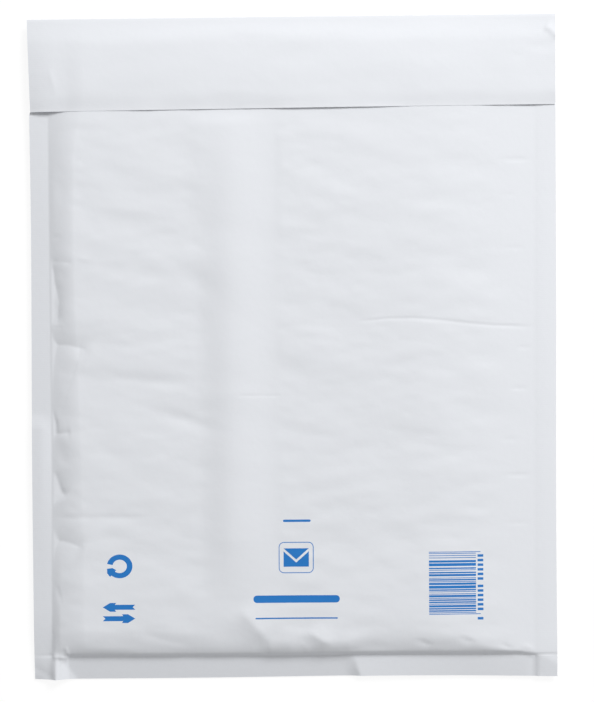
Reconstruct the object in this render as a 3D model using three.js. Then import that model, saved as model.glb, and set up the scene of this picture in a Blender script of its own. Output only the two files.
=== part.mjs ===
// A padded postal envelope, empty, lying on its back with its flap folded
// down over the front and not yet sealed. Millimetres, +Z up, X to the right
// and Y towards the fold of the flap. The origin is at the middle of the
// envelope's box, on the surface that it lies on.

import * as THREE from "three";
import { mergeVertices } from "three/addons/utils/BufferGeometryUtils.js";

// Outline of the folded envelope
const outerWidth = 263;
const foldedLength = 331;
const leftSeam = 9.5;
const rightSeam = 10.5;
const bottomSeam = 11.5;

// Opening and flap
const mouthBelowFold = 8;
const flapDepth = 46;

// Layers
const paperThick = 0.12;
const sealThick = 0.26;
const bubbleThick = 3.2;
const pocketGap = 1.5;
const layerGap = 0.3;

// How far the filled middle takes to rise from each edge
const sideReach = 9;
const bottomReach = 6;
const frontMouthReach = 70;
const backMouthReach = 25;
const crownPower = 0.6;
const flapSideInset = 2;

// Lining, measured from the seams and the mouth
const liningInset = 1;
const liningBelowMouth = 3;
const leastPocketGap = 0.3;

// Adhesive strip and its peel-off liner, on the flap's inner face
const adhesiveWidth = 25;
const adhesiveAboveEdge = 6;
const adhesiveEndInset = 5;
const adhesiveThick = 0.1;
const linerLip = 1.5;
const linerThick = 0.08;
const stripGap = 0.05;

// Facets
const foldSteps = 4;
const middleColumns = 5;
const leastStep = 0.2;
const weldDistance = 1e-4;

// Edges, seam lines and levels that follow from the sizes above
const leftEdge = -outerWidth / 2;
const rightEdge = outerWidth / 2;
const bottomEdge = -foldedLength / 2;
const topEdge = foldedLength / 2;
const leftLine = leftEdge + leftSeam;
const rightLine = rightEdge - rightSeam;
const bottomLine = bottomEdge + bottomSeam;
const seamHalf = paperThick + sealThick / 2;
const foldLine = topEdge - seamHalf;
const mouthLine = topEdge - mouthBelowFold;
const flapLine = topEdge - flapDepth;
const stackHeight = 2 * (paperThick + layerGap + bubbleThick) + pocketGap;
const seamLevel = stackHeight / 2;
const fullRise = seamLevel - seamHalf;
const flapClearance = layerGap + linerThick + adhesiveThick + 2 * stripGap;

// 0 at an edge, 1 where the padding is full, with a rounded shoulder
function edgeRise(distance, reach) {
  const share = THREE.MathUtils.clamp(distance / reach, 0, 1);
  return Math.sin((share * Math.PI) / 2) ** crownPower;
}

function sideRise(x, y) {
  const across = edgeRise(x - leftLine, sideReach) * edgeRise(rightLine - x, sideReach);
  return across * edgeRise(y - bottomLine, bottomReach);
}

function frontOuter(x, y) {
  const rise = sideRise(x, y) * edgeRise(foldLine - y, frontMouthReach);
  return seamLevel + seamHalf + fullRise * rise;
}

function frontInner(x, y) {
  return frontOuter(x, y) - paperThick;
}

function backOuter(x, y) {
  const rise = sideRise(x, y) * edgeRise(foldLine - y, backMouthReach);
  return fullRise * (1 - rise);
}

function backInner(x, y) {
  return backOuter(x, y) + paperThick;
}

// The flap spans the side seams in a flatter arch than the front under it.
function flapInner(x, y) {
  const below = foldLine - y;
  const leftReach = sideReach + leftSeam - flapSideInset;
  const rightReach = sideReach + rightSeam - flapSideInset;
  const left = edgeRise(x - leftEdge - flapSideInset, leftReach);
  const right = edgeRise(rightEdge - flapSideInset - x, rightReach);
  const arch = left * right * edgeRise(below, frontMouthReach);
  const lift = Math.min(1, below / (foldLine - mouthLine)) * (paperThick + flapClearance);
  return seamLevel + sealThick / 2 + lift + fullRise * arch;
}

function flapOuter(x, y) {
  return flapInner(x, y) + paperThick;
}

// The film's bubble layers fill the paper pouch, up to their own thickness.
function liningFront(x, y) {
  return frontInner(x, y) - layerGap;
}

function liningBack(x, y) {
  return backInner(x, y) + layerGap;
}

function pocketHalf(x, y) {
  const space = liningFront(x, y) - liningBack(x, y);
  return Math.max(leastPocketGap, space - 2 * bubbleThick) / 2;
}

function pocketMiddle(x, y) {
  return (liningFront(x, y) + liningBack(x, y)) / 2;
}

function pocketRoof(x, y) {
  return pocketMiddle(x, y) + pocketHalf(x, y);
}

function pocketFloor(x, y) {
  return pocketMiddle(x, y) - pocketHalf(x, y);
}

// Stations are the grid lines that every piece shares, so that layers which
// follow each other have parallel facets.
function stations(values) {
  const kept = [];
  for (const value of [...values].sort((a, b) => a - b)) {
    if (kept.length === 0 || value - kept[kept.length - 1] > leastStep) {
      kept.push(value);
    }
  }
  return kept;
}

// A station that gave way to a near one below it is found at that one.
function between(list, low, high) {
  return list.filter((value) => value >= low - leastStep && value < high + weldDistance);
}

function spread(low, high, count) {
  return Array.from({ length: count + 1 }, (_, i) => low + ((high - low) * i) / count);
}

// Distances from a seam line at which the rising edge is bent
function edgeDistances(reach) {
  const shoulder = liningInset + bubbleThick;
  return [0, liningInset, (liningInset + shoulder) / 2, shoulder, reach];
}

const adhesiveEnds = [leftEdge + adhesiveEndInset, rightEdge - adhesiveEndInset];
const adhesiveBottom = flapLine + adhesiveAboveEdge;
const adhesiveTop = adhesiveBottom + adhesiveWidth;
const liningMouth = mouthLine - liningBelowMouth;

const columns = stations([
  leftEdge,
  rightEdge,
  ...adhesiveEnds,
  ...edgeDistances(sideReach).map((distance) => leftLine + distance),
  ...edgeDistances(sideReach).map((distance) => rightLine - distance),
  ...spread(leftLine + sideReach, rightLine - sideReach, middleColumns),
]);

const rows = stations([
  bottomEdge,
  ...edgeDistances(bottomReach).map((distance) => bottomLine + distance),
  foldLine - frontMouthReach,
  (foldLine - frontMouthReach + flapLine) / 2,
  flapLine,
  adhesiveBottom - linerLip,
  adhesiveBottom,
  (adhesiveBottom + adhesiveTop) / 2,
  adhesiveTop,
  adhesiveTop + linerLip,
  liningMouth,
  mouthLine,
  (mouthLine + foldLine) / 2,
  foldLine,
]);

// A grid of points on a level, one list for each row
function surface(level, xs, ys) {
  return ys.map((y) => xs.map((x) => new THREE.Vector3(x, y, level(x, y))));
}

// The half turn from the lower layer to the upper one at the top fold
function halfTurn(xs, radius) {
  const turn = [];
  for (let step = 0; step <= foldSteps; step += 1) {
    const angle = (Math.PI * step) / foldSteps;
    const y = foldLine + radius * Math.sin(angle);
    const height = seamLevel - radius * Math.cos(angle);
    turn.push(xs.map((x) => new THREE.Vector3(x, y, height)));
  }
  return turn;
}

// Triangles between the points of a grid, seen from the side where its
// columns run to the right while its rows run up
function patch(grid) {
  const triangles = [];
  for (let row = 0; row + 1 < grid.length; row += 1) {
    for (let column = 0; column + 1 < grid[row].length; column += 1) {
      const a = grid[row][column];
      const b = grid[row][column + 1];
      const c = grid[row + 1][column + 1];
      const d = grid[row + 1][column];
      triangles.push([a, b, c], [a, c, d]);
    }
  }
  return triangles;
}

// The same triangles seen from the other side
function underside(grid) {
  return patch(grid).map(([a, b, c]) => [c, b, a]);
}

function column(grids, index) {
  return grids.map((grid) => grid.map((row) => row.at(index)));
}

function row(grids, index) {
  return grids.map((grid) => grid.at(index));
}

function body(...patches) {
  const geometry = new THREE.BufferGeometry().setFromPoints(patches.flat(2));
  const closed = mergeVertices(geometry, weldDistance);
  closed.computeVertexNormals();
  return closed;
}

// Layers lie over each other, the lowest first. These are the upper face of
// the highest, the lower face of the lowest and the rims at both sides.
function stack(grids) {
  return [
    ...underside(grids[0]),
    ...patch(grids.at(-1)),
    ...underside(column(grids, 0)),
    ...patch(column(grids, -1)),
  ];
}

function nearRim(grids) {
  return patch(row(grids, 0));
}

function farRim(grids) {
  return underside(row(grids, -1));
}

// A pouch of two layers joined round three sides, with its levels from the
// lowest up. Its pocket opens at the last row, where the end of its lower
// layer is left for the caller to close or to carry on.
function pouch(levels, xs, ys, pocketXs, pocketYs) {
  const outside = levels.map((level) => surface(level, xs, ys));
  const pocket = levels.slice(1, 3).map((level) => surface(level, pocketXs, pocketYs));
  const mouthOf = (index, part) => surface(levels[index], part, [ys.at(-1)]);
  const sideParts = [
    xs.filter((x) => x <= pocketXs[0]),
    xs.filter((x) => x >= pocketXs.at(-1)),
  ];
  return [
    ...stack(outside),
    ...nearRim(outside),
    ...patch(pocket[0]),
    ...underside(pocket[1]),
    ...patch(column(pocket, 0)),
    ...underside(column(pocket, -1)),
    ...underside(row(pocket, 0)),
    ...farRim(outside.slice(2)),
    ...sideParts.flatMap((part) => farRim([mouthOf(1, part), mouthOf(2, part)])),
  ];
}

// The paper: a pouch whose back layer runs on past the mouth, turns over at
// the fold and comes down over the front as the flap.
function outerEnvelope() {
  const levels = [backOuter, backInner, frontInner, frontOuter];
  const pouchRows = between(rows, bottomEdge, mouthLine);
  const pocketRows = between(rows, bottomLine, mouthLine);
  const pocketColumns = between(columns, leftLine, rightLine);
  const neckRows = between(rows, mouthLine, foldLine);
  const flapRows = between(rows, flapLine, foldLine);
  const flap = [flapInner, flapOuter].map((level) => surface(level, columns, flapRows));
  return body(
    pouch(levels, columns, pouchRows, pocketColumns, pocketRows),
    stack([backOuter, backInner].map((level) => surface(level, columns, neckRows))),
    stack([halfTurn(columns, seamHalf), halfTurn(columns, sealThick / 2)]),
    stack(flap),
    nearRim(flap),
  );
}

// The bubble film: a pouch of its own inside the paper one, open at the mouth
function bubbleLining() {
  const levels = [liningBack, pocketFloor, pocketRoof, liningFront];
  const pocketInset = liningInset + bubbleThick;
  const xs = between(columns, leftLine + liningInset, rightLine - liningInset);
  const ys = between(rows, bottomLine + liningInset, liningMouth);
  const pocketXs = between(columns, leftLine + pocketInset, rightLine - pocketInset);
  const pocketYs = between(rows, bottomLine + pocketInset, liningMouth);
  const backEnd = [liningBack, pocketFloor].map((level) => surface(level, xs, [liningMouth]));
  return body(pouch(levels, xs, ys, pocketXs, pocketYs), farRim(backEnd));
}

// A strip on the flap's inner face, this far below it and this thick
function flapStrip(low, high, depth, thick) {
  const xs = between(columns, ...adhesiveEnds);
  const ys = between(rows, low, high);
  const faces = [depth + thick, depth].map((drop) =>
    surface((x, y) => flapInner(x, y) - drop, xs, ys),
  );
  return body(stack(faces), nearRim(faces), farRim(faces));
}

function adhesiveStrip() {
  return flapStrip(adhesiveBottom, adhesiveTop, stripGap, adhesiveThick);
}

function releaseLiner() {
  const depth = 2 * stripGap + adhesiveThick;
  return flapStrip(adhesiveBottom - linerLip, adhesiveTop + linerLip, depth, linerThick);
}

const paper = new THREE.MeshStandardMaterial({ color: 0xebedf1, roughness: 0.62, metalness: 0 });
const film = new THREE.MeshStandardMaterial({ color: 0xe4ecf2, roughness: 0.28, metalness: 0 });
const glue = new THREE.MeshStandardMaterial({ color: 0xe6e2d2, roughness: 0.35, metalness: 0 });
const peelPaper = new THREE.MeshStandardMaterial({ color: 0xf3f3ee, roughness: 0.4, metalness: 0 });

function piece(name, geometry, material) {
  const mesh = new THREE.Mesh(geometry, material);
  mesh.name = name;
  return mesh;
}

const group = new THREE.Group();
group.add(
  piece("outer_envelope", outerEnvelope(), paper),
  piece("bubble_lining", bubbleLining(), film),
  piece("adhesive_strip", adhesiveStrip(), glue),
  piece("release_liner", releaseLiner(), peelPaper),
);

export default group;
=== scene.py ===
# %% [markdown]
# # A padded mailing envelope, made of folded paper round a pouch of bubble film
#
# The envelope is one sheet of white paper, folded and sealed on itself, with a pouch of bubble
# film inside it and a flap that closes its mouth. A solid model with the right sizes comes in
# as a frame: it says where each piece belongs, and the detailed pieces take their places.
#
# All the shape work below is in millimetres, in which paper is easy to think of. The numbers
# turn into metres only when a mesh is made.

# %% Load the frame
import math
from collections import Counter

import bpy
import bmesh
import numpy as np
from mathutils.geometry import delaunay_2d_cdt
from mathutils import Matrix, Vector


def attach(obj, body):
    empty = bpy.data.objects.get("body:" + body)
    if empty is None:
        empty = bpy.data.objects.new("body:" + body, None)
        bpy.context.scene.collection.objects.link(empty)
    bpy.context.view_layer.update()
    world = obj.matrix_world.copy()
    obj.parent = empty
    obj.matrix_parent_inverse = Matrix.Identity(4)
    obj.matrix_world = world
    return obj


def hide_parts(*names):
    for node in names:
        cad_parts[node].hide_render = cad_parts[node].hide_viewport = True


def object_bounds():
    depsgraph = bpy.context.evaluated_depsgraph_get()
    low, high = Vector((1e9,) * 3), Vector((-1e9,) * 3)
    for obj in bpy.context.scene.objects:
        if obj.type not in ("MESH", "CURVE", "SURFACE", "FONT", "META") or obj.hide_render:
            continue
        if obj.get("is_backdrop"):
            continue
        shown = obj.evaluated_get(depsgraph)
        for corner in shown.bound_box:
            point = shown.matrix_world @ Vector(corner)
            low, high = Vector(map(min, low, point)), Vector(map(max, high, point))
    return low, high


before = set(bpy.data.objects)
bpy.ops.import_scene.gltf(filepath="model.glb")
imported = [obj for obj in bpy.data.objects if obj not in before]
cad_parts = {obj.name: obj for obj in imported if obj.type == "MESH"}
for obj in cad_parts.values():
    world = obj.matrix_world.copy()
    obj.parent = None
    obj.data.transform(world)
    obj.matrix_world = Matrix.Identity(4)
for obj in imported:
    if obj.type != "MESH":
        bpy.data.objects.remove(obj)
cad_box = [[float(number) for number in corner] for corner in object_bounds()]
print("frame box in metres:", cad_box)

MM = 0.001


def add_object(name, data):
    made = bpy.data.objects.new(name, data)
    bpy.context.scene.collection.objects.link(made)
    return made


# %% [markdown]
# ## The camera
#
# The camera stands well back, so that near and far edges look the same size. It looks almost
# straight down from 1.2 m with a long lens. The lens and the turn of a degree or two were
# worked out from the four corners of the envelope's outline.

# %% Make the camera
camera_data = bpy.data.cameras.new("copy_stand_camera")
camera_data.lens = 122.75
camera = add_object("copy_stand_camera", camera_data)
camera.location = (0.0205, 0.0342, 1.2)
camera.rotation_euler = [math.radians(angle) for angle in (-1.692, 0.876, -0.467)]
bpy.context.scene.camera = camera
bpy.context.scene.view_settings.view_transform = "Standard"
print("camera", camera_data.lens, "mm at", tuple(camera.location))

# %% [markdown]
# ## Shader maths in Python
#
# A material in Blender is a net of nodes. Wiring many Math nodes by hand hides the formula, so
# a small class gives a node's output the ordinary signs. Then `1 - mask` or `speckle * 0.2`
# adds the Math nodes itself. Every other node comes from one method, which takes its type,
# what goes into its sockets, which output is wanted, and its settings.

# %% A net of nodes that reads like a formula
def sign(operation, swapped=False):
    """One sign as a method; swapped is for a field on the right of the sign."""
    def method(self, other):
        first, second = (other, self) if swapped else (self, other)
        return self.net.node("ShaderNodeMath", {0: first, 1: second}, operation=operation)

    return method


class Field:
    """The output of a node, with the ordinary signs of arithmetic."""

    __add__, __radd__ = sign("ADD"), sign("ADD", True)
    __sub__, __rsub__ = sign("SUBTRACT"), sign("SUBTRACT", True)
    __mul__, __rmul__ = sign("MULTIPLY"), sign("MULTIPLY", True)

    def __init__(self, net, socket):
        self.net, self.socket = net, socket


class Net:
    """The nodes of one material or of the world."""

    def __init__(self, owner):
        owner.use_nodes = True
        self.owner, self.tree = owner, owner.node_tree
        self.tree.nodes.clear()

    def node(self, kind, inputs=None, output=0, **settings):
        made = self.tree.nodes.new(kind)
        for name, value in settings.items():
            setattr(made, name, value)
        for name, value in (inputs or {}).items():
            if isinstance(value, Field):
                self.tree.links.new(value.socket, made.inputs[name])
            else:
                made.inputs[name].default_value = value
        return Field(self, made.outputs[output]) if len(made.outputs) else made


def seen_directly(net):
    """1 for rays from the camera, also by way of gloss or glass, and 0 for the rest."""
    def ray(name):
        return net.node("ShaderNodeLightPath", output=name)

    either = ray("Is Camera Ray") + ray("Is Glossy Ray") + ray("Is Transmission Ray")
    return net.node("ShaderNodeMath", {0: either, 1: 1.0}, operation="MINIMUM")


# %% [markdown]
# ## Floor and light
#
# The envelope lies on pure white, lit softly from the top right. More light on the floor would
# also burn out the paper, so the floor glows: to the camera, most of its colour is its own
# light, and the rest is white paint that takes the envelope's soft shadow.
#
# The one lamp stands low enough to bring out the shallow creases: a slope of one or two
# degrees then changes the light that it gets by some per cent. The white sky adds the rest.

# %% Make the floor
WHITE = (1, 1, 1, 1)
FLOOR_SIZE, FLOOR_LEVEL = 8, -0.0002
FLOOR_PAINT = (0.9, 0.9, 0.9, 1)
FLOOR_GLOW, GLOW_SHARE = 1.06, 0.85


def make_floor():
    net = Net(bpy.data.materials.new("floor_white"))
    paint = net.node("ShaderNodeBsdfDiffuse", {"Color": FLOOR_PAINT})
    shine = net.node("ShaderNodeEmission", {"Color": WHITE, "Strength": FLOOR_GLOW})
    share = seen_directly(net) * GLOW_SHARE
    both = net.node("ShaderNodeMixShader", {0: share, 1: paint, 2: shine})
    net.node("ShaderNodeOutputMaterial", {"Surface": both})
    mesh = bpy.data.meshes.new("floor")
    half = FLOOR_SIZE / 2
    corners = [(-half, -half, 0), (half, -half, 0), (half, half, 0), (-half, half, 0)]
    mesh.from_pydata(corners, [], [(0, 1, 2, 3)])
    mesh.materials.append(net.owner)
    floor = add_object("floor", mesh)
    floor.location = (0, 0, FLOOR_LEVEL)
    floor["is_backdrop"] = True


make_floor()

# %% Make the lamp and the sky
LAMP_DISTANCE, LAMP_SIZE, LAMP_WATTS = 2.4, 0.9, 47
LAMP_TURN, LAMP_HEIGHT = math.radians(56), math.radians(40)
SKY = 0.36


def make_lamp():
    lamp = bpy.data.lights.new("window_light", "AREA")
    lamp.size = LAMP_SIZE
    lamp.energy = LAMP_WATTS
    level = math.cos(LAMP_HEIGHT)
    ray = (level * math.cos(LAMP_TURN), level * math.sin(LAMP_TURN), math.sin(LAMP_HEIGHT))
    carrier = add_object("window_light", lamp)
    carrier.location = [LAMP_DISTANCE * share for share in ray]
    carrier.rotation_euler = (math.pi / 2 - LAMP_HEIGHT, 0, LAMP_TURN + math.pi / 2)


def make_sky():
    world = bpy.data.worlds.new("studio_sky")
    bpy.context.scene.world = world
    net = Net(world)
    light = net.node("ShaderNodeBackground", {"Color": WHITE, "Strength": SKY})
    sight = net.node("ShaderNodeBackground", {"Color": WHITE, "Strength": 1.0})
    both = net.node("ShaderNodeMixShader", {0: seen_directly(net), 1: light, 2: sight})
    net.node("ShaderNodeOutputWorld", {"Surface": both})


make_lamp()
make_sky()
print("lamp", LAMP_WATTS, "W at", LAMP_DISTANCE, "m, sky", SKY)

# %% [markdown]
# ## The plan of the envelope
#
# The plan says where the seams, the fold and the flap's free edge run. The paper is a grid of
# columns and rows on it, and each part of the skin is a height over it. Straight seams keep
# the grid simple. The real edges bow by up to a millimetre, so the finished points are shifted.

# %% The lines of the plan, in millimetres
PLAN_LEFT, PLAN_RIGHT = -131.5, 131.5
PLAN_BOTTOM, FOLD = -165.5, 165.25
SEAM_LEFT, SEAM_RIGHT, SEAM_BOTTOM = -121.4, 120.5, -153.8
MARGIN_LEFT, MARGIN_RIGHT = SEAM_LEFT - PLAN_LEFT, PLAN_RIGHT - SEAM_RIGHT
MARGIN_BOTTOM = SEAM_BOTTOM - PLAN_BOTTOM
MOUTH, FLAP_EDGE = 157.5, 119.5
SEAM_TOP, FULL_RISE = 4.62, 4.12
PAPER = 0.12
print("folded outline", PLAN_RIGHT - PLAN_LEFT, "by", FOLD - PLAN_BOTTOM, "mm")

# %% [markdown]
# ## Soft shapes to build heights from
#
# Creased paper is a few simple forms added together: a rounded shoulder where it rises from a
# seam, a pinch where it has folded a little, a hollow where it is pressed in, and low random
# hills. Each takes the plan's coordinates a (across) and b (along) as arrays, so that one call
# works on the whole sheet. A cloth simulation gives lively folds too, but they fall where they
# like, and here each crease has a known place.

# %% Shoulders, pinches, hollows and hills
def ease(share):
    """0 below 0, 1 above 1, and a soft curve between them."""
    share = np.clip(share, 0, 1)
    return share * share * (3 - 2 * share)


def bell(place, centre, width):
    """1 at the centre, falling off softly on both sides."""
    return np.exp(-(((place - centre) / width) ** 2))


def shoulder(distance, reach, power=2.0):
    """Rises from 0 at a seam to 1 at its reach, steepest at the seam."""
    return 1 - (1 - np.clip(distance / reach, 0, 1)) ** power


def turned(a, b, turn):
    """The same places, measured along axes that are turned by some degrees."""
    cos, sin = math.cos(math.radians(turn)), math.sin(math.radians(turn))
    return a * cos + b * sin, b * cos - a * sin


def hollow(a, b, centre, size, turn=0):
    """A soft round patch: 1 in its centre and 0 far away."""
    across, along = turned(a - centre[0], b - centre[1], turn)
    return np.exp(-((across / size[0]) ** 2) - (along / size[1]) ** 2)


def pinch(a, b, points, left, right, taper=0.3, power=1.6):
    """1 along a bent line, falling off within one width to its left and another to its right.

    A power of 1 makes the line itself sharp, like a pressed fold; a higher one rounds it.
    """
    points = np.array(points, float)
    legs = np.diff(points, axis=0)
    lengths = np.hypot(*legs.T)
    reach = 4 * max(left, right)
    low, high = points.min(axis=0) - reach, points.max(axis=0) + reach
    near = (a > low[0]) & (a < high[0]) & (b > low[1]) & (b < high[1])
    x, y = a[near], b[near]
    best, side, place = np.full(x.shape, 1e9), np.zeros(x.shape), np.zeros(x.shape)
    walked = 0.0
    for start, leg, length in zip(points, legs, lengths):
        way = leg / length
        along = np.clip((x - start[0]) * way[0] + (y - start[1]) * way[1], 0, length)
        off_x, off_y = x - start[0] - along * way[0], y - start[1] - along * way[1]
        gap = np.hypot(off_x, off_y)
        closer = gap < best
        best = np.where(closer, gap, best)
        side = np.where(closer, way[0] * off_y - way[1] * off_x, side)
        place = np.where(closer, (walked + along) / lengths.sum(), place)
        walked += length
    width = np.where(side > 0, left, right)
    ends = ease(np.minimum(place, 1 - place) / taper + 0.02)
    result = np.zeros(a.shape)
    result[near] = np.exp(-((best / width) ** power)) * ends
    return result


def hills(a, b, size, seed, turn=0):
    """Smooth random hills and dips between -1 and 1, each about one size across."""
    knots = np.random.default_rng(seed).uniform(-1, 1, (160, 160))
    across, along = turned(a, b, turn)
    u, v = across / size[0] + 80, along / size[1] + 80
    column, row = np.floor(u).astype(int), np.floor(v).astype(int)
    u, v = ease(u - column), ease(v - row)
    lower = knots[row, column] * (1 - u) + knots[row, column + 1] * u
    upper = knots[row + 1, column] * (1 - u) + knots[row + 1, column + 1] * u
    return lower * (1 - v) + upper * v


def total(form, a, b, marks):
    """Adds up marks of one form, each given as its height and that form's other numbers."""
    return sum(height * form(a, b, *numbers) for height, *numbers in marks)


# %% [markdown]
# ## The body of the envelope
#
# The film pushes both panels of paper apart, so each rises from the seams over a rounded
# shoulder. The left and bottom shoulders are short and steep, the right one is long and
# gentle, and towards the mouth the panels come together again. The sealed margins have no film
# in them, so they droop a little towards the table.

# %% How high the body stands
def lower_of(one, other, softness=0.01):
    """The lower of two heights, with a soft change from one to the other."""
    return (one + other - np.sqrt((one - other) ** 2 + softness)) / 2


def head(b):
    """The share of its full height that the sheet reaches below the top fold."""
    return 0.3 * shoulder(FOLD - b, 30) + 0.7 * shoulder(FOLD - b, 120)


def crown(a, b):
    """The front panel's share of its full height: 0 on the seams, 1 in the middle."""
    left_reach = np.interp(b, (-120, -40, 40, 100, 125), (17, 15, 12.5, 13, 18))
    steep = np.interp(b, (-150, -115, -95), (0.34, 0.14, 0))
    left = (1 - steep) * shoulder(a - SEAM_LEFT, left_reach, 1.6)
    left = left + steep * shoulder(a - SEAM_LEFT, 4.5, 1.4)
    right = shoulder(SEAM_RIGHT - a, 60, 1.5)
    rise = b - SEAM_BOTTOM
    reach = np.interp(a, (-40, -18, -12, -2, 4, 9, 14, 27, 36), (14, 16, 9, 9, 13, 12, 9, 8.5, 14))
    foot = 0.12 * shoulder(rise, 5) + 0.7 * shoulder(rise, reach) + 0.18 * shoulder(rise, 60)
    swell = 1 + 0.2 * (1 - ease(rise / 60))
    return left * lower_of(right, foot) * head(b) * swell


def overlap(a, b):
    """1 to the right of the slanting edge where the bottom margin doubles, 0 before it."""
    past = a - (29.2 - (b - SEAM_BOTTOM) * 0.28)
    return np.clip(1 + past / 8, 0, 1) ** 2.4


def sink(a, b):
    """The bottom margin lies a step lower than the pad that bulges over its seam."""
    between = ease((a + 117) / 4) * ease((123 - a) / 3)
    line = SEAM_BOTTOM + np.interp(a, (0, 30, 113, 122), (-1, -0.3, -0.3, -2))
    return (1.5 - 0.3 * overlap(a, b)) * between * (1 - ease((b - line) / 2.8))


def droop(a, b):
    """How far the margins hang below the seams."""
    free = ease((FOLD - b) / 100)
    left = 1.15 * np.clip((SEAM_LEFT - a) / MARGIN_LEFT, 0, 1)
    right = 0.7 * ease(0.6 * (a - SEAM_RIGHT) / MARGIN_RIGHT) / ease(0.6)
    single = np.interp(a, (-122, -116), (0, 2.55))
    double = np.interp(a, (30, 85, 110, 118, 122), (0.7, 1.9, 1.7, 1.4, 1.6))
    low = single + (double - single) * overlap(a, b)
    foot = low * np.clip((SEAM_BOTTOM - b) / MARGIN_BOTTOM, 0, 1)
    corner = 2.9 * np.clip((-130 - b) / 35.5, 0, 1) ** 2 * (1 - ease((a + 123) / 4))
    return free * np.maximum(np.maximum(left, right), foot) + corner + sink(a, b)


def front_smooth(a, b):
    """The front panel before its creases."""
    return SEAM_TOP + FULL_RISE * crown(a, b) - droop(a, b)


def back_crown(a, b):
    sides = shoulder(a - SEAM_LEFT, 13) * shoulder(SEAM_RIGHT - a, 16)
    return sides * shoulder(b - SEAM_BOTTOM, 12) * shoulder(FOLD - b, 34)


def back_smooth(a, b):
    """The back panel before its ripples; 0 is the table."""
    return FULL_RISE * (1 - back_crown(a, b)) - droop(a, b)


print("front panel", round(float(front_smooth(0, 0)), 2), "mm high in the middle")


# %% [markdown]
# ## The creases of the front panel
#
# These marks make the envelope look used: a smooth raised band down the panel, streaky
# ripples elsewhere, pinches along the left and bottom shoulders where the paper had to shrink
# round a corner, and one long fine fold right of the middle. The creases stand in tables.
# Heights are signed: a groove is a negative pinch.

# %% The raised band and the ripples
def band(a, b):
    """A broad ridge along the panel, with a short left flank and a long right one."""
    crest = -31
    flank = np.interp(b, (-100, 50, 110), (16, 18, 26))
    left = ease((a - crest + flank) / flank)
    right = ease((crest + 23 - a) / 23)
    height = np.interp(b, (-150, -125, -95, 0, 100, 118), (0, 0.3, 1.55, 1.65, 1.1, 0.5))
    return height * np.minimum(left, right)


def ripples(a, b):
    inside = ease(crown(a, b) * 1.8 - 0.3)
    rough_side = 1 - 0.8 * ease((a + 47) / 7) * ease((-4 - a) / 5)
    slow = 0.3 * hills(a, b, (46, 26), 3, 12) + 0.2 * hills(a, b, (25, 10), 5, -14)
    fine = 0.12 * hills(a, b, (13, 5.5), 8, 10) + 0.06 * hills(a, b, (6, 3.2), 11, -6)
    calm = 1 - 0.35 * ease((a - 10) / 30) * ease((b - 15) / 50)
    return calm * inside * (slow * (0.4 + 0.6 * rough_side) + fine * rough_side)


# %% The creases
LEFT_FOLDS = (
    (-0.16, [(-120, 57), (-115, 57)], 0.5, 0.5),
    (-0.27, [(-123, 44.6), (-116, 44.6), (-108, 43.4)], 1.9, 1.5, 0.3),
    (0.16, [(-112, 47), (-98, 45), (-80, 44)], 2.5, 2.5),
    (-1, [(-121.6, 45), (-120.4, 35), (-117.8, 30), (-116.8, 25), (-117.8, 11)],
     3.4, 5, 0.2, 1.1),
    (-1, [(-125, 3.3), (-112, 2.9), (-105, 1.2), (-100, -1)], 3.8, 12, 0.3, 1.1),
    (-0.12, [(-120.5, 11.8), (-114.5, 11.8)], 0.6, 2, 0.3),
    (-0.5, [(-123, -41.6), (-117, -41.4), (-111, -40.6)], 2.4, 2, 0.2, 1.1),
    (-1.2, [(-122.6, -61.5), (-118.9, -66.5), (-113.7, -74)], 2.8, 8, 0.25, 1.1),
    (-0.27, [(-122, -83.4), (-97, -83), (-72, -83.3)], 0.9, 2.4, 0.2),
    (-0.85, [(-123, -94.5), (-113, -95.8), (-104, -99.2)], 4.2, 5, 0.25, 1.1),
    (-0.2, [(-119, -117), (-116, -127)], 0.7, 1.5),
    (-0.95, [(-122, -30), (-120.7, -33), (-119.4, -37), (-120, -42)], 1, 0.6, 0.1),
)
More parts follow.
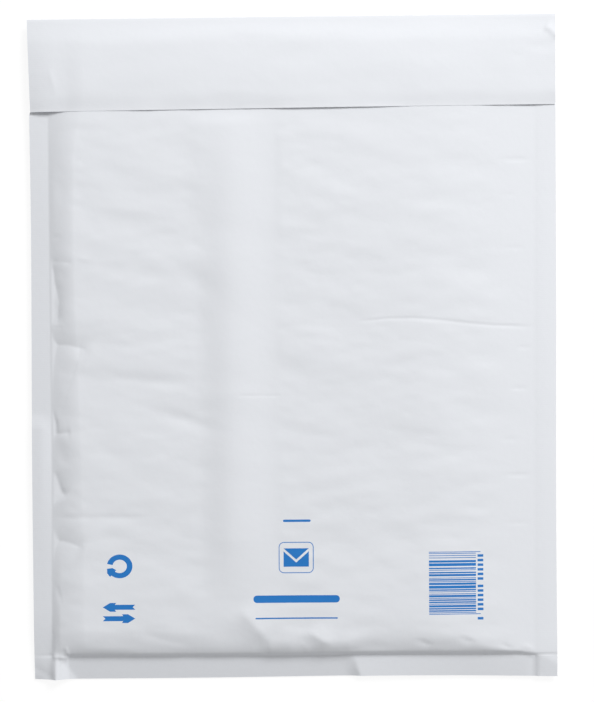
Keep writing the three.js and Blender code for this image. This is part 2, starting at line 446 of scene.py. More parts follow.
# Level folds near the right shoulder: from, to, place along the panel, height.
SHORT_FOLDS = ((102, 119.5, 93.4, -0.17), (103, 112, 76, -0.1), (103, 116, 49.6, -0.11),
               (111, 119, -0.1, -0.15), (107, 118.5, -20.6, -0.18), (101, 116, -46, -0.09),
               (104, 119.5, -64, -0.2), (104, 119.5, -88, -0.13))
FOLDS = (
    # The long fine fold, one across the band, and the short ones.
    (-0.21, [(30, 13.4), (47, 15.1), (60, 15.3), (76, 13.9), (90, 12.2), (100, 11.3),
             (122, 10.4)], 0.5, 1, 0.15),
    (-0.1, [(-29, -23.1), (-17, -23.1), (-5, -23.3)], 0.8, 0.5, 0.2),
    *((height, [(left, b), (right, b)], 0.9, 0.5, 0.4) for left, right, b, height in SHORT_FOLDS),
    # The foot, where the pad bulges over the seam.
    (1.2, [(-28.5, -128), (-20, -138), (-13.5, -147)], 9, 5, 0.35, 1.2),
    (0.85, [(6, -139.5), (11, -144), (20, -149)], 8, 3.4, 0.35, 1.2),
    (0.22, [(2, -146), (8, -152)], 1.4, 2.4, 0.3),
    (-0.42, [(60.5, -144.8), (64, -147), (69, -149)], 1, 1.6),
    (-0.38, [(82.5, -143.6), (85.5, -145.6), (90, -147.5)], 0.8, 1.8),
    (-0.3, [(103, -147), (106, -149.5), (110, -151)], 0.8, 1.6),
    (0.25, [(113, -148.5), (118, -150.5), (120.4, -153)], 1.3, 1, 0.4),
    (-0.25, [(-80, -140), (-62, -146), (-50, -148)], 4, 2),
    (0.3, [(-114.9, -148), (-113, -153)], 0.8, 0.8),
    # The bottom margin and its corners.
    (-0.12, [(-131.5, -153.6), (-122, -153.2), (-115, -154.2)], 0.5, 0.5, 0.05),
    (0.8, [(-121.6, -153.8), (-118.5, -154), (-113, -154.8)], 1.4, 0.7, 0.15),
    (-0.3, [(-131.5, -160), (-120.5, -165.4)], 1.8, 0.8, 0.1),
    (-0.1, [(122.4, -153.7), (123.6, -165.3)], 1.5, 1.5, 0.02),
    (-0.15, [(120.5, -153.8), (131, -153.5)], 0.5, 0.5, 0.1),
)
DENTS = (
    (-0.55, (-72, -15), (24, 3.6), -5), (-0.6, (-55, -34.5), (14, 3.2), -17),
    (-0.2, (-52, 38), (26, 5), -40), (0.15, (-48, 46), (16, 5), 10),
    (-0.16, (66, 62), (26, 7), -32), (0.14, (38, 50), (30, 8), 22),
    (-0.14, (95, -30), (26, 7), -20), (0.1, (20, -60), (30, 9), -26),
    (-0.5, (-34, -143), (14, 6)), (-0.3, (-72, -146), (14, 5)),
    (0.35, (-3, -141.5), (6, 5)), (0.4, (24, -143), (9, 5.5)),
)


# %% The front panel with its creases
def left_creases(a, b):
    """The pinches of the left shoulder, kept less deep than the shoulder's own rise."""
    z = total(pinch, a, b, LEFT_FOLDS) - 0.25 * hollow(a, b, (-115.5, -52), (3, 6), 20)
    deepest = 0.8 * FULL_RISE * np.clip(crown(a, b) - 0.07, 0, 1)
    return -lower_of(-z, deepest, 0.003)


def corner_facet(a, b):
    """A triangle of the bottom margin, folded up a little beside the left corner."""
    down = np.clip((SEAM_BOTTOM - b) / MARGIN_BOTTOM, 0, 1)
    ridge = -119.6 - 0.3 * down
    right = 1 - np.clip((a - ridge) / (0.8 + 10 * down), 0, 1)
    left = np.clip(1 - (ridge - a) / 13, 0, 1) ** 1.4
    return 2 * down ** 0.7 * np.where(a > ridge, right, left)


def lifted_margin(a, b):
    """Lifts the left margin below its long pinch, and lets it sink further down."""
    lifted = np.clip((-32 - b) / 6.5, 0, 1) * (1 - ease((-39 - b) / 80))
    return 0.75 * lifted * np.clip((SEAM_LEFT - a) / 5, 0, 1)


def front_height(a, b):
    """The front panel with everything on it, in millimetres above the table."""
    marks = left_creases(a, b) + ripples(a, b) + band(a, b)
    marks += total(pinch, a, b, FOLDS) + total(hollow, a, b, DENTS)
    marks += corner_facet(a, b) + lifted_margin(a, b)
    marks += 0.15 * hills(a, b, (13, 30), 17) * ease((-138 - b) / 8) * (b > SEAM_BOTTOM)
    open_air = ease((120.5 - b) / 9)
    return front_smooth(a, b) + marks * open_air


# %% [markdown]
# ## The flap
#
# The flap is the top of the same sheet, folded down over the mouth. It is stiff, so it bridges
# the body's dips and stands off the margins at both ends. Its free edge touches the body in
# some places and lifts by a few tenths of a millimetre in others, which makes the broken dark
# line below it.

# %% How high the flap lies
# Where the free edge lifts: place, width and rise.
LIFTS = ((-128, 7, 0.25), (-72, 8, 0.28), (-45, 9, 0.32), (-22, 8, 0.12), (0, 10, 0.42),
         (20, 12, 0.45), (40, 9, 0.28), (68, 14, 0.14), (132, 8, -0.2))
FLAP_FOLDS = ((0.14, [(-121.5, 142), (-117.5, 128)], 1.6, 1.6),
              (0.5, [(126, 158.8), (129.2, 157.4), (132.5, 153)], 3, 1, 0.15, 1.2))
FLAP_DENTS = ((-0.14, (125, 149), (8, 2.5)), (-0.12, (113, 144), (5, 2.5)),
              (0.1, (-30, 128.5), (12, 1.6)))


def flap_smooth(a, b):
    """The higher of a stiff sheet and the body, with a dip at the free edge."""
    from_left, from_right = a - PLAN_LEFT, PLAN_RIGHT - a
    left = 0.45 * shoulder(from_left, 14) + 0.55 * shoulder(from_left, 80)
    right = 0.1 * shoulder(from_right, 22) + 0.9 * shoulder(from_right, 90, 1.4)
    dip = 0.44 + 0.2 * hills(a, b, (34, 60), 27) + 0.18 * ease((a - 100) / 12)
    dip = dip + 0.25 * bell(a, 93, 14)
    clear = 0.75 * ease((FOLD - b) / 13) - dip * ease((127.5 - b) / 9)
    stiff = SEAM_TOP + FULL_RISE * head(b) * left * right
    resting = SEAM_TOP + FULL_RISE * crown(a, b)
    return clear - lower_of(-stiff, -resting, 0.08)


def flap_height(a, b):
    lift = sum(rise * bell(a, place, width) for place, width, rise in LIFTS)
    near_edge = np.exp(-(b - FLAP_EDGE) / 7)
    free = ease((FOLD - b) / 10)
    slow = 0.24 * hills(a, b, (60, 20), 21) + 0.12 * hills(a, b, (22, 9), 23, 8)
    slow = slow + 0.03 * hills(a, b, (7, 4), 24, -5)
    marks = total(pinch, a, b, FLAP_FOLDS) + total(hollow, a, b, FLAP_DENTS)
    return flap_smooth(a, b) + lift * near_edge + slow * free + marks


# %% [markdown]
# ## From heights to a skin of paper
#
# The skin is closed: the outsides of front and back, both faces of the flap, the inside of the
# pocket, and the thin edges between them. The front has the finest grid, for its creases. Two
# borders with different numbers of points are sewn together with triangles, as a tailor eases
# a long edge into a short one.

# %% Lay out grids and sew borders
class Skin:
    """Gathers points in millimetres and the faces between them."""

    def __init__(self):
        self.points, self.faces, self.inked = np.zeros((0, 3)), [], set()

    def add(self, a, b, z):
        """Adds points and returns their numbers, in the shape of the arrays given."""
        first = len(self.points)
        fresh = np.stack([np.ravel(part) for part in (a, b, z)], axis=1)
        self.points = np.vstack([self.points, fresh])
        return np.arange(first, first + len(fresh)).reshape(np.shape(a))

    def grid(self, columns, rows, height, gaps=()):
        """A patch of four-sided cells, left out where their middles lie in a gap."""
        a, b = np.meshgrid(columns, rows)
        numbers = self.add(a, b, height(a, b))
        a, b = np.meshgrid((columns[:-1] + columns[1:]) / 2, (rows[:-1] + rows[1:]) / 2)
        keep = np.ones(a.shape, bool)
        for left, low, right, high in gaps:
            keep &= (a < left) | (a > right) | (b < low) | (b > high)
        corners = [numbers[:-1, :-1], numbers[:-1, 1:], numbers[1:, 1:], numbers[1:, :-1]]
        cells = np.stack([corner[keep] for corner in corners], axis=1)
        self.faces.extend(map(tuple, cells.tolist()))
        return numbers

    def sew(self, one, other):
        """Joins two borders that run the same way, with any numbers of points."""
        one, other = [int(n) for n in one], [int(n) for n in other]

        def shares(border):
            legs = np.linalg.norm(np.diff(self.points[border], axis=0), axis=1)
            walked = np.concatenate([[0], np.cumsum(legs)])
            return walked / walked[-1]

        here, there = shares(one), shares(other)
        i = j = 0
        while i < len(one) - 1 or j < len(other) - 1:
            ahead = j == len(other) - 1
            if ahead or (i < len(one) - 1 and here[i + 1] <= there[j + 1] + 1e-9):
                self.faces.append((one[i], one[i + 1], other[j]))
                i += 1
            else:
                self.faces.append((one[i], other[j + 1], other[j]))
                j += 1


def steps(*stops):
    """Stations from stop to stop. Each stop is (place, spacing up to the next place)."""
    parts = [np.linspace(start, end, max(1, round((end - start) / gap)), endpoint=False)
             for (start, gap), (end, _) in zip(stops, stops[1:])]
    return np.concatenate(parts + [[stops[-1][0]]])


# %% The columns and rows of the paper
COLUMNS = steps((PLAN_LEFT, 1.6), (-122.0, 0.6), (SEAM_LEFT, 0.6), (-103, 1.3), (-92, 2.0),
                (-30, 1.4), (24, 0.8), (33, 2.0), (88, 1.6), (SEAM_RIGHT, 1.0), (PLAN_RIGHT, 1))
ROWS = steps((PLAN_BOTTOM, 1.3), (-155, 0.6), (SEAM_BOTTOM, 0.65), (-136, 1.05), (-99, 0.75),
             (-94, 1.05), (-43, 0.6), (-39, 1.05), (-25, 0.6), (-21, 1.05), (1, 0.6), (16.5, 1.05),
             (43, 0.6), (47.5, 1.05), (FLAP_EDGE - 3, 0.75), (FLAP_EDGE, 2.2), (MOUTH, 1))
BACK_COLUMNS = steps((PLAN_LEFT, 3.4), (SEAM_LEFT, 2.2), (-104, 3.4), (100, 2.6),
                     (SEAM_RIGHT, 3.7), (PLAN_RIGHT, 1))
BACK_ROWS = steps((PLAN_BOTTOM, 3.9), (SEAM_BOTTOM, 2.0), (-138, 3.2), (MOUTH, 2.6), (162.7, 1))
POCKET_COLUMNS = steps((SEAM_LEFT, 2.8), (-104, 5.6), (100, 3.4), (SEAM_RIGHT, 1))
POCKET_ROWS = steps((SEAM_BOTTOM, 2.6), (-138, 5.6), (MOUTH, 1))
FLAP_ROWS = steps((FLAP_EDGE, 0.8), (FLAP_EDGE + 3, 1.5), (152, 1.0), (162, 1.5), (FOLD, 1))
print("front grid", len(COLUMNS), "by", len(ROWS), "and flap rows", len(FLAP_ROWS))

# %% [markdown]
# ## Print that is part of the paper
#
# Ink on paper has no thickness, and a picture texture would blur its edges. So the printed
# shapes are cut into the skin: a small rectangle of the grid is left out and filled again with
# triangles that follow the outlines of the print. The faces inside an outline get the ink's
# material. The tool is a constrained Delaunay triangulation, which map makers use for roads.
#
# The marks are plain: a loop arrow, a pair of arrows, a bar pattern, an envelope sign, lines.

# %% Outlines of the plain marks
def rectangle(left, low, right, high):
    return [(left, low), (right, low), (right, high), (left, high)]


def arc(x, y, radius, start, end, count):
    """Points along a circle, between two angles in degrees."""
    angles = [math.radians(start + (end - start) * step / count) for step in range(count + 1)]
    return [(x + radius * math.cos(angle), y + radius * math.sin(angle)) for angle in angles]


def rounded(left, low, right, high, radius, count=6):
    middles = ((right - radius, high - radius), (left + radius, high - radius),
               (left + radius, low + radius), (right - radius, low + radius))
    return [point for turn, (x, y) in zip((0, 90, 180, 270), middles)
            for point in arc(x, y, radius, turn, turn + 90, count)]


def loop_arrow(x, y, outer=6.4, inner=3.6, start=168, end=-130, flatness=0.93):
    """An open ring that ends in a plain arrowhead."""
    ring, back = arc(0, 0, outer, start, end, 40), arc(0, 0, inner, end, start, 40)
    cos, sin = math.cos(math.radians(end)), math.sin(math.radians(end))
    tip = [(radius * cos + ahead * sin, radius * sin - ahead * cos)
           for radius, ahead in ((outer + 1.0, 0), (outer + 0.4, 2.4), ((outer + inner) / 2, 4.0),
                                 (inner - 0.6, 2.2), (inner - 1.0, 0))]
    return [(x + across, y + flatness * up) for across, up in ring + tip + back]


def straight_arrow(tail, tip, y):
    """An arrow with a notched tail and a blunt-shouldered head."""
    way = 1 if tip > tail else -1
    side = [(tail, 1.25), (tip - way * 6.0, 1.25), (tip - way * 6.7, 2.2), (tip - way * 3.6, 2.2)]
    return ([(x, y - out) for x, out in side] + [(tip, y)]
            + [(x, y + out) for x, out in reversed(side)] + [(tail + way * 1.3, y)])


PATTERN_HEIGHT = 31.4
BAR_WIDTHS = (1, 1, 1, 2, 1, 2, 1, 3, 3, 1, 4, 2, 2, 1, 1, 2, 2, 1, 3, 2, 1, 1, 2, 1, 1, 1, 3, 1,
              4, 1, 2, 1, 1, 2, 1, 1, 3, 1, 1, 1, 2, 1, 2, 1, 1, 1, 3, 1, 2, 1, 2, 1, 1, 1, 1)


def bar_pattern(left, top, right, tail):
    """Bars and gaps from the top down; the first and the last bar are longer."""
    unit = PATTERN_HEIGHT / sum(BAR_WIDTHS)
    y, shapes = top, []
    for index, width in enumerate(BAR_WIDTHS):
        if index % 2 == 0:
            end = tail if index in (0, len(BAR_WIDTHS) - 1) else right
            shapes.append(rectangle(left, y - width * unit, end, y))
        y -= width * unit
    return shapes


def envelope_sign(left, low, right, high):
    """A rounded frame round a plain drawing of an envelope."""
    frame_line = [rounded(left, low, right, high, 2.6),
                  rounded(left + 0.4, low + 0.4, right - 0.4, high - 0.4, 2.2)]
    x0, y0, x1, y1 = left + 2.4, low + 3.2, right - 2.4, high - 3.2
    middle = (x0 + x1) / 2
    flap = [(x0, y1), (middle, y0 + 3.6), (x1, y1)]
    pocket = [(x0, y0), (x1, y0), (x1, y1 - 1.5), (middle, y0 + 2.1), (x0, y1 - 1.5)]
    return frame_line + [flap, pocket]


def dashes(left, right, top, low, count, share=0.55):
    """A column of short plain dashes."""
    pitch = (top - low) / count
    return [rectangle(left, top - pitch * (n + share), right, top - pitch * n)
            for n in range(count)]


# %% Where the marks stand
PRINT_FIELDS = (
    [loop_arrow(-87.2, -107.9)],
    [straight_arrow(-79.4, -95.6, -128.4), straight_arrow(-95.6, -79.4, -134.1)],
    [rounded(-5.6, -86.2, 8.2, -85.0, 0.6, 3)],
    envelope_sign(-7.8, -111.8, 9.6, -96.2),
    [rounded(-20.5, -126.6, 22.5, -122.9, 1.8)],
    [rounded(-19.5, -134.7, 21.5, -134.0, 0.35, 3)],
    bar_pattern(67.0, -101.6, 90.7, 93.0) + dashes(91.5, 94.4, -103.1, -116.9, 6)
    + dashes(91.5, 94.4, -118.3, -132.1, 6) + dashes(91.5, 94.4, -134.5, -136.8, 1),
)
print("outlines of the print", sum(map(len, PRINT_FIELDS)))

# %% Cut the print into the skin
PRINT_MARGIN, CLEAR_OF_INK = 0.5, 0.45


def neighbours(ring):
    """Each member of a ring with the next one."""
    return zip(ring, ring[1:] + ring[:1])


def split_edges(outline, longest=1.9):
    """The outline counter-clockwise, with more points along its long edges."""
    if sum(x0 * y1 - x1 * y0 for (x0, y0), (x1, y1) in neighbours(outline)) < 0:
        outline = outline[::-1]
    result = []
    for (x0, y0), (x1, y1) in neighbours(outline):
        count = max(1, math.ceil(math.hypot(x1 - x0, y1 - y0) / longest))
        result.extend((x0 + (x1 - x0) * n / count, y0 + (y1 - y0) * n / count)
                      for n in range(count))
    return result


def print_gap(shapes):
    """The rectangle of whole grid cells that a group of shapes needs."""
    points = np.array([point for shape in shapes for point in shape])
    low, high = points.min(axis=0) - PRINT_MARGIN, points.max(axis=0) + PRINT_MARGIN
    return (COLUMNS[COLUMNS <= low[0]].max(), ROWS[ROWS <= low[1]].max(),
            COLUMNS[COLUMNS >= high[0]].min(), ROWS[ROWS >= high[1]].min())


def fill_gap(skin, numbers, gap, shapes):
    """Fills a gap with triangles that keep to the outlines of the shapes."""
    left, low, right, high = gap
    block = numbers[(ROWS >= low) & (ROWS <= high)][:, (COLUMNS >= left) & (COLUMNS <= right)]
    outlines = [split_edges(shape) for shape in shapes]
    edge_points = np.array([point for outline in outlines for point in outline])
    plan, owners = [], []
    for i, row in enumerate(block):
        for j, number in enumerate(row):
            place = skin.points[number, :2]
            rim = i in (0, len(block) - 1) or j in (0, len(row) - 1)
            if rim or np.hypot(*(edge_points - place).T).min() > CLEAR_OF_INK:
                plan.append(tuple(place))
                owners.append(int(number))
    faces = []
    for outline in outlines:
        faces.append(list(range(len(plan), len(plan) + len(outline))))
        plan.extend(outline)
        owners.extend([None] * len(outline))
    places, _, triangles, sources, _, inside = delaunay_2d_cdt(plan, [], faces, 0, 1e-5, True)
    final = []
    for place, source in zip(places, sources):
        known = [owners[n] for n in source if owners[n] is not None]
        if known:
            final.append(known[0])
        else:
            a, b = np.array([place]).T
            final.append(int(skin.add(a, b, front_height(a, b))[0]))
    for triangle, within in zip(triangles, inside):
        if len(within) % 2:
            skin.inked.add(len(skin.faces))
        skin.faces.append(tuple(final[n] for n in triangle))


# %% [markdown]
# ## Assemble the paper
#
# The patches follow the sheet as it is folded: the front, over the cut edges to the back, up
# to the top fold, round it into the flap, and inside the flap back to the open pocket.

# %% The faces that the front does not share
def wall(a, b, room):
    """The paper's thickness, with room for the creases away from the seams."""
    return PAPER + room * ease(crown(a, b) / 0.25) * ease((MOUTH - b) / 20)


def front_inside(a, b):
    return front_smooth(a, b) - wall(a, b, 1.25)


def back_inside(a, b):
    return back_smooth(a, b) + wall(a, b, 0.35)


def back_height(a, b):
    ripple = 0.10 + 0.06 * hills(a, b, (14, 10), 31, 7) + 0.04 * hills(a, b, (7, 6), 33)
    return back_smooth(a, b) + ripple * ease(back_crown(a, b) * 2) * ease((FOLD - b) / 30)


def flap_inside(a, b):
    return flap_height(a, b) - PAPER


# %% Bend a border round a fold
def half_turn(skin, lower, upper, count):
    """Rows of points round a fold, from the border below it to the one above it."""
    low, high = skin.points[lower], skin.points[upper]
    rows = [lower]
    for step in range(1, count):
        angle = math.pi * step / count
        middle, radius = (low[:, 2] + high[:, 2]) / 2, (high[:, 2] - low[:, 2]) / 2
        out, z = radius * math.sin(angle), middle - radius * math.cos(angle)
        rows.append(skin.add(low[:, 0], low[:, 1] + out, z))
    rows.append(upper)
    for near, far in zip(rows, rows[1:]):
        skin.sew(near, far)
    return np.array(rows)


# %% Sew the outer envelope
def sew_envelope(skin):
    """Makes and joins all patches, and gives back the points of the flap."""
    gaps = [print_gap(shapes) for shapes in PRINT_FIELDS]
    front = skin.grid(COLUMNS, ROWS, front_height, gaps)
    for gap, shapes in zip(gaps, PRINT_FIELDS):
        fill_gap(skin, front, gap, shapes)
    back = skin.grid(BACK_COLUMNS, BACK_ROWS, back_height)
    hem = skin.add(COLUMNS, np.full(len(COLUMNS), FOLD), back_height(COLUMNS, FOLD))
    skin.sew(back[-1], hem)
    flap = skin.grid(COLUMNS, FLAP_ROWS, flap_height)
    mouth_row = np.searchsorted(BACK_ROWS, MOUTH)
    skin.sew(front[0], back[0])
    for side in (0, -1):
        skin.sew(front[:, side], back[:mouth_row + 1, side])
    under = skin.grid(COLUMNS, FLAP_ROWS, flap_inside)
    inner_hem = skin.add(COLUMNS, np.full(len(COLUMNS), FOLD), back_inside(COLUMNS, FOLD))
    outer_turn = half_turn(skin, hem, flap[-1], 6)
    inner_turn = half_turn(skin, inner_hem, under[-1], 4)
    pocket_back = skin.grid(POCKET_COLUMNS, POCKET_ROWS, back_inside)
    pocket_front = skin.grid(POCKET_COLUMNS, POCKET_ROWS, front_inside)
    skin.sew(pocket_back[0], pocket_front[0])
    rim = np.array([PLAN_LEFT, PLAN_RIGHT])
    corners = skin.add(rim, np.full(2, MOUTH), back_inside(rim, MOUTH))
    throat = np.concatenate([corners[:1], pocket_back[-1], corners[1:]])
    skin.sew(throat, inner_hem)
    skin.sew(flap[0], under[0])
    left, right = np.searchsorted(COLUMNS, (SEAM_LEFT, SEAM_RIGHT))
    top = front[-1]
    skin.sew(top[left:right + 1], pocket_front[-1])
    skin.sew(top[:left + 1], throat[:2])
    skin.sew(top[right:], throat[-2:])
    for side, seam in ((0, left), (-1, right)):
        skin.sew(pocket_back[:, side], pocket_front[:, side])
        outer = np.concatenate([back[mouth_row:, side], outer_turn[:, side], flap[-2::-1, side]])
        inner = np.concatenate([[throat[side]], inner_turn[:, side], under[-2::-1, side]])
        skin.sew(outer, inner)
        for corners in ((top[seam], pocket_back[-1, side], pocket_front[-1, side]),
                        (top[side], back[mouth_row, side], throat[side])):
            skin.faces.append(tuple(map(int, corners)))
    return np.concatenate([flap.ravel(), under.ravel(), outer_turn[1:-1].ravel(),
                           inner_turn[1:-1].ravel()])


skin = Skin()
flap_points = sew_envelope(skin)
print("points", len(skin.points), "faces", len(skin.faces), "of them inked", len(skin.inked))

# %% Shift the points to where the real edges run
def drift(a, b):
    """How far the real paper lies from its place in the plan, sideways and lengthwise."""
    tucked = 0.8 * ease((b - 117.5) / 2.5) * np.clip((FOLD - b) / 46, 0, 1)
    left = 0.8 * bell(b, 70, 90) + tucked
    left_seam = -0.9 * np.clip((-60 - b) / 90, 0, 1)
    right_seam = 0.7 * (b + 18) / 133
    right = -0.6 * bell(b, -90, 90)
    stops = (PLAN_LEFT, SEAM_LEFT, 60, SEAM_RIGHT, PLAN_RIGHT)
    shares = [np.interp(a, stops, row) for row in np.eye(len(stops))]
    sideways = sum(share * bow for share, bow in zip(shares, (left, left_seam, 0, right_seam, right)))
    low = np.interp(b, (PLAN_BOTTOM, SEAM_BOTTOM), (1, 0))
    high = np.interp(b, (FLAP_EDGE, FOLD), (0, 1))
    return sideways, low * bell(a, 50, 75) + high * 0.002 * a


def flap_drift(a, b):
    """The flap was folded a little askew, so its free edge climbs to the right."""
    hang = (FOLD - b) / (FOLD - FLAP_EDGE)
    sideways = 1.3 * np.interp(a, (PLAN_LEFT, -100), (1, 0))
    sideways = sideways - 0.3 * np.interp(a, (100, PLAN_RIGHT), (0, 1))
    return hang * sideways, hang * (0.55 + 0.0065 * a)


def shifted(points, shift):
    """The points, moved sideways and lengthwise by a pair of arrays."""
    return points + np.stack([*shift, np.zeros(len(points))], axis=1)


def settle(skin, flap_points):
    a, b = skin.points[:, 0], skin.points[:, 1]
    sideways, lengthwise = drift(a, b)
    sideways[flap_points], climb = flap_drift(a[flap_points], b[flap_points])
    lengthwise[flap_points] += climb
    return shifted(skin.points, (sideways, lengthwise))


# %% Turn points and faces into a mesh
def solid(name, points, faces, materials, sharp=40):
    """A closed mesh, shaded softly except at its sharp edges."""
    mesh = bpy.data.meshes.new(name)
    mesh.from_pydata((np.asarray(points) * MM).tolist(), [], faces)
    shape = bmesh.new()
    shape.from_mesh(mesh)
    bmesh.ops.recalc_face_normals(shape, faces=shape.faces)
    loose = sum(len(edge.link_faces) != 2 for edge in shape.edges)
    shape.to_mesh(mesh)
    shape.free()
    for material in materials:
        mesh.materials.append(material)
    mesh.shade_smooth()
    mesh.set_sharp_from_angle(angle=math.radians(sharp))
    mesh.calc_loop_triangles()
    print(name, "triangles", len(mesh.loop_triangles), "open edges", loose)
    return add_object(name, mesh)


# %% [markdown]
# ## Finishes
#
# The outer paper is smooth, bleached and only slightly glossy. Its fibres show as a very fine
# mottle in the gloss and the bump. The side margins were pressed between ribbed rollers, which
# left fine lines across them. One ink is used, a flat blue. All colours are plain values, so
# that nothing has to be baked into a picture and the print stays sharp.

# %% Paper and ink
RIB_PITCH = 1.1


def begin_finish(name):
    """The net of a new material, and the object's own coordinates in millimetres."""
    net = Net(bpy.data.materials.new(name))
    place = net.node("ShaderNodeTexCoord", output="Object")
    return net, net.node("ShaderNodeVectorMath", {0: place, "Scale": 1 / MM}, operation="SCALE")


def end_finish(net, colour, rough, height, coat=0.0):
    """A plain colour with a roughness, a relief in millimetres and a clear coat."""
    bump = net.node("ShaderNodeBump", {"Height": height, "Distance": MM})
    shader = net.node("ShaderNodeBsdfPrincipled", {
        "Base Color": (*colour, 1), "Roughness": rough, "Coat Weight": coat, "Normal": bump})
    net.node("ShaderNodeOutputMaterial", {"Surface": shader})
    return net.owner


def mottle(net, place, size, detail=3.0, roughness=0.55):
    """Random clouds from 0 to 1, each about one size across in millimetres."""
    return net.node("ShaderNodeTexNoise", {"Vector": place, "Scale": 1 / size,
                                           "Detail": detail, "Roughness": roughness})


def wave(net, place, turns, shift=0.0):
    """Waves along the envelope, in radians a millimetre."""
    along = net.node("ShaderNodeSeparateXYZ", {0: place}, "Y")
    return net.node("ShaderNodeMath", {0: along * turns + shift}, operation="SINE")


def roller_ribs(net, place):
    """Fine crosswise lines on the two side margins."""
    across = net.node("ShaderNodeSeparateXYZ", {0: place}, "X")
    ends = [net.node("ShaderNodeMapRange",
                     {"Value": across, "From Min": limit, "From Max": limit + 0.6},
                     interpolation_type="SMOOTHSTEP")
            for limit in (SEAM_LEFT - 0.6, SEAM_RIGHT + 0.4)]
    margins = 1 - ends[0] + ends[1]
    return wave(net, place, 2 * math.pi / RIB_PITCH) * margins


def make_paper(name, colour, gloss, relief):
    net, place = begin_finish(name)
    fibres, clouds = mottle(net, place, 0.5, 4.0, 0.7), mottle(net, place, 9.0, 2.0)
    crinkle = mottle(net, place, 3.2, 2.0, 0.4)
    height = fibres * 0.014 + crinkle * 0.05 + roller_ribs(net, place) * 0.003
    return end_finish(net, colour, gloss + 0.10 * fibres + 0.12 * clouds, height * relief)


paper_white = make_paper("paper_white", (0.83, 0.85, 0.89), 0.56, 1.0)
ink_blue = make_paper("ink_blue", (0.006, 0.178, 0.550), 0.44, 0.8)
print("finishes:", paper_white.name, ink_blue.name)

# %% Make the outer envelope
def make_outer(skin, flap_points):
    outer = solid("outer_paper", settle(skin, flap_points), skin.faces, (paper_white, ink_blue))
    tints = [int(number in skin.inked) for number in range(len(skin.faces))]
    outer.data.polygons.foreach_set("material_index", tints)
    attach(outer, "root")
    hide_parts("outer_envelope")


make_outer(skin, flap_points)

# %% [markdown]
# ## The bubble film
#
# Two layers of film line the pocket, one against each panel. Their bubbles face the paper and
# their smooth side faces the goods, so that a book slides in. Each cell is a hexagon with one
# dome in it, as in a honeycomb. Towards the seams the layers are squeezed flat.

# %% Blow the bubbles
BUBBLE_PITCH, BUBBLE_RADIUS, BUBBLE_HEIGHT = 11.0, 4.9, 3.0
FILM, FILM_CLEARANCE, LAYER_GAP, THINNEST = 0.08, 0.06, 0.30, 0.02
FILM_LEFT, FILM_RIGHT, FILM_LOW, FILM_HIGH = -119.8, 118.6, -152.4, 154.3


def film_room(a, b):
    """The height that one layer of film may take."""
    gap = front_inside(a, b) - back_inside(a, b)
    return np.clip(gap / 2 - LAYER_GAP, THINNEST, BUBBLE_HEIGHT)


class Layer:
    """The plan of one layer of film; neighbouring cells share their points."""

    def __init__(self, side):
        self.side, self.plan, self.faces, self.known = side, [], [], {}

    def point(self, a, b, share, lift=0.0):
        """A point whose share is 0 on the flat sheet and 1 on top of a bubble."""
        a = min(max(a, FILM_LEFT), FILM_RIGHT)
        b = min(max(b, FILM_LOW), FILM_HIGH)
        key = (round(a, 3), round(b, 3), share, lift)
        if key not in self.known:
            self.known[key] = len(self.plan)
            self.plan.append((a, b, share, lift))
        return self.known[key]

    def face(self, *corners):
        """Keeps a triangle that the film's border has not squeezed to a line."""
        if len(set(corners)) == 3:
            self.faces.append(corners)

    def points(self):
        a, b, share, lift = np.array(self.plan).T
        depth = FILM_CLEARANCE + film_room(a, b) * (1 - share) + lift
        z = front_inside(a, b) - depth if self.side == "front" else back_inside(a, b) + depth
        return np.stack([a, b, z], axis=1)


# The rings of a dome, as shares of the bubble's radius and height.
DOME = ((1.0, 0.001), (0.93, 0.70), (0.66, 0.97))


def cell(layer, x, y):
    """One hexagon of film: a dome on one side and the smooth sheet on the other."""
    corners = arc(x, y, BUBBLE_PITCH / math.sqrt(3), 30, 390, 6)[:-1]
    rim = [layer.point(*corner, 0.0) for corner in corners]
    flat = [layer.point(*corner, 0.0, FILM) for corner in corners]
    middle = layer.point(x, y, 0.0, FILM)
    for here, there in neighbours(flat):
        layer.face(here, there, middle)
    whole = (FILM_LEFT + BUBBLE_RADIUS < x < FILM_RIGHT - BUBBLE_RADIUS
             and FILM_LOW + BUBBLE_RADIUS < y < FILM_HIGH - BUBBLE_RADIUS)
    if not whole:
        top = layer.point(x, y, 0.0)
        for here, there in neighbours(rim):
            layer.face(here, there, top)
        return
    rings = [[layer.point(*place, share)
              for place in arc(x, y, BUBBLE_RADIUS * size, 30, 390, 12)[:-1]]
             for size, share in DOME]
    foot = rings[0] + rings[0][:1]
    for k, (here, there) in enumerate(neighbours(rim)):
        layer.face(here, foot[2 * k], foot[2 * k + 1])
        layer.face(here, foot[2 * k + 1], there)
        layer.face(there, foot[2 * k + 1], foot[2 * k + 2])
    for low, high in zip(rings, rings[1:]):
        for (here, there), (above, beyond) in zip(neighbours(low), neighbours(high)):
            layer.face(here, there, beyond)
            layer.face(here, beyond, above)
    top = layer.point(x, y, 1.0)
    for here, there in neighbours(rings[-1]):
        layer.face(here, there, top)


# %% Close the cut edges of a layer
def close_edges(layer):
    """Joins the bubbled sheet to the smooth one where both were cut."""
    uses = Counter(tuple(sorted(edge)) for corners in layer.faces for edge in neighbours(corners))
    known = layer.known
    below = {number: known[a, b, 0.0, FILM] for (a, b, share, lift), number in known.items()
             if share == lift == 0.0 and (a, b, 0.0, FILM) in known}
    for start, end in [edge for edge, count in uses.items() if count == 1]:
        if start in below and end in below:
            layer.faces.append((start, end, below[end]))
            layer.faces.append((start, below[end], below[start]))


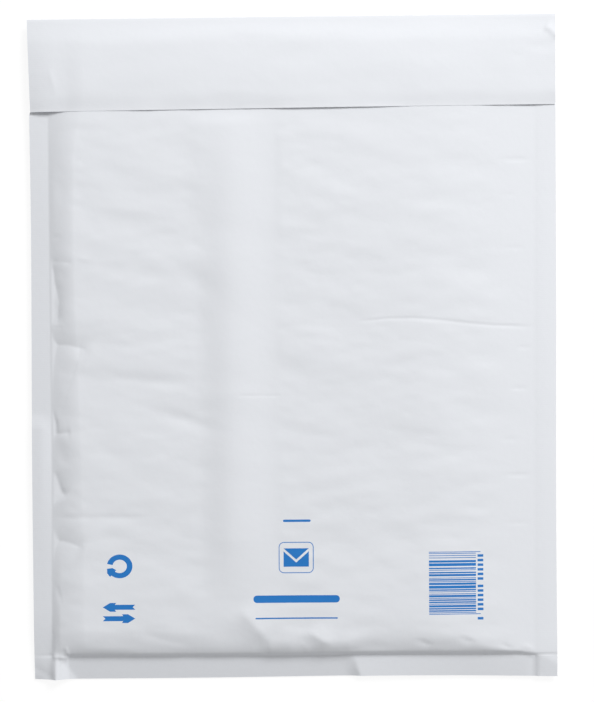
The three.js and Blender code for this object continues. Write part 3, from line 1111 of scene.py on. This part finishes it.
def film_layer(side):
    layer = Layer(side)
    half, row_gap = BUBBLE_PITCH / 2, BUBBLE_PITCH * math.sqrt(3) / 2
    for row, y in enumerate(np.arange(FILM_LOW, FILM_HIGH + row_gap / 2, row_gap).tolist()):
        first = FILM_LEFT + row % 2 * half
        for x in np.arange(first, FILM_RIGHT + half, BUBBLE_PITCH).tolist():
            cell(layer, x, y)
    close_edges(layer)
    return layer


# %% The film's finish
def make_film_finish():
    net, place = begin_finish("film_milky")
    clouds, wrinkles = mottle(net, place, 14.0, 2.0), mottle(net, place, 1.6, 3.0, 0.6)
    return end_finish(net, (0.80, 0.85, 0.88), 0.16 + 0.18 * clouds, wrinkles * 0.05)


def make_film():
    points, faces = np.zeros((0, 3)), []
    for side in ("front", "back"):
        layer = film_layer(side)
        faces += [tuple(n + len(points) for n in face) for face in layer.faces]
        points = np.vstack([points, layer.points()])
    film = solid("bubble_film", points, faces, (make_film_finish(),), 50)
    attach(film, "root")
    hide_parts("bubble_lining")


make_film()

# %% [markdown]
# ## The adhesive and its release paper
#
# Both are flat strips that follow the inside of the flap, with a few hundredths of a
# millimetre between the layers, so that no two faces lie in one place.

# %% Lay the strips on the flap
def strip(name, left, right, low, high, below, thick, material):
    """A thin closed band, that far below the flap's inner face."""
    columns, rows = steps((left, 3.0), (right, 1)), steps((low, 2.6), (high, 1))
    ribbon = Skin()
    upper = ribbon.grid(columns, rows, lambda a, b: flap_inside(a, b) - below)
    under = ribbon.grid(columns, rows, lambda a, b: flap_inside(a, b) - below - thick)
    for side in (0, -1):
        ribbon.sew(upper[side], under[side])
        ribbon.sew(upper[:, side], under[:, side])
    placed = shifted(ribbon.points, flap_drift(*ribbon.points[:, :2].T))
    return solid(name, placed, ribbon.faces, (material,))


def make_strip_finish(name, colour, gloss, coat, grain):
    net, place = begin_finish(name)
    speckle = mottle(net, place, grain)
    streaks = wave(net, place, 2.4, speckle * 5.0)
    rough = gloss + 0.12 * speckle + 0.03 * streaks
    return end_finish(net, colour, rough, speckle * 0.03, coat)


def make_strips():
    glue = make_strip_finish("adhesive_clear", (0.78, 0.75, 0.62), 0.22, 0.3, 2.5)
    release = make_strip_finish("release_white", (0.84, 0.85, 0.84), 0.34, 0.15, 1.2)
    adhesive = strip("adhesive_band", -126.5, 126.5, 125.5, 150.5, 0.03, 0.10, glue)
    liner = strip("release_band", -128.0, 128.0, 124.6, 152.0, 0.16, 0.08, release)
    for piece, node, slot in ((adhesive, "adhesive_strip", "adhesive"),
                              (liner, "release_liner", "release_paper")):
        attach(piece, "root")
        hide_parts(node)


make_strips()

# %% [markdown]
# ## Print the size of both models
#
# Both models should have one outline. The raised band makes the detailed one a bit higher.

# %% Write both boxes and finish
visual_box = [[float(number) for number in corner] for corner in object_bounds()]
for label, (low, high) in (("solid", cad_box), ("detailed", visual_box)):
    print(label, [round(1000 * (top - bottom), 2) for bottom, top in zip(low, high)], "mm")
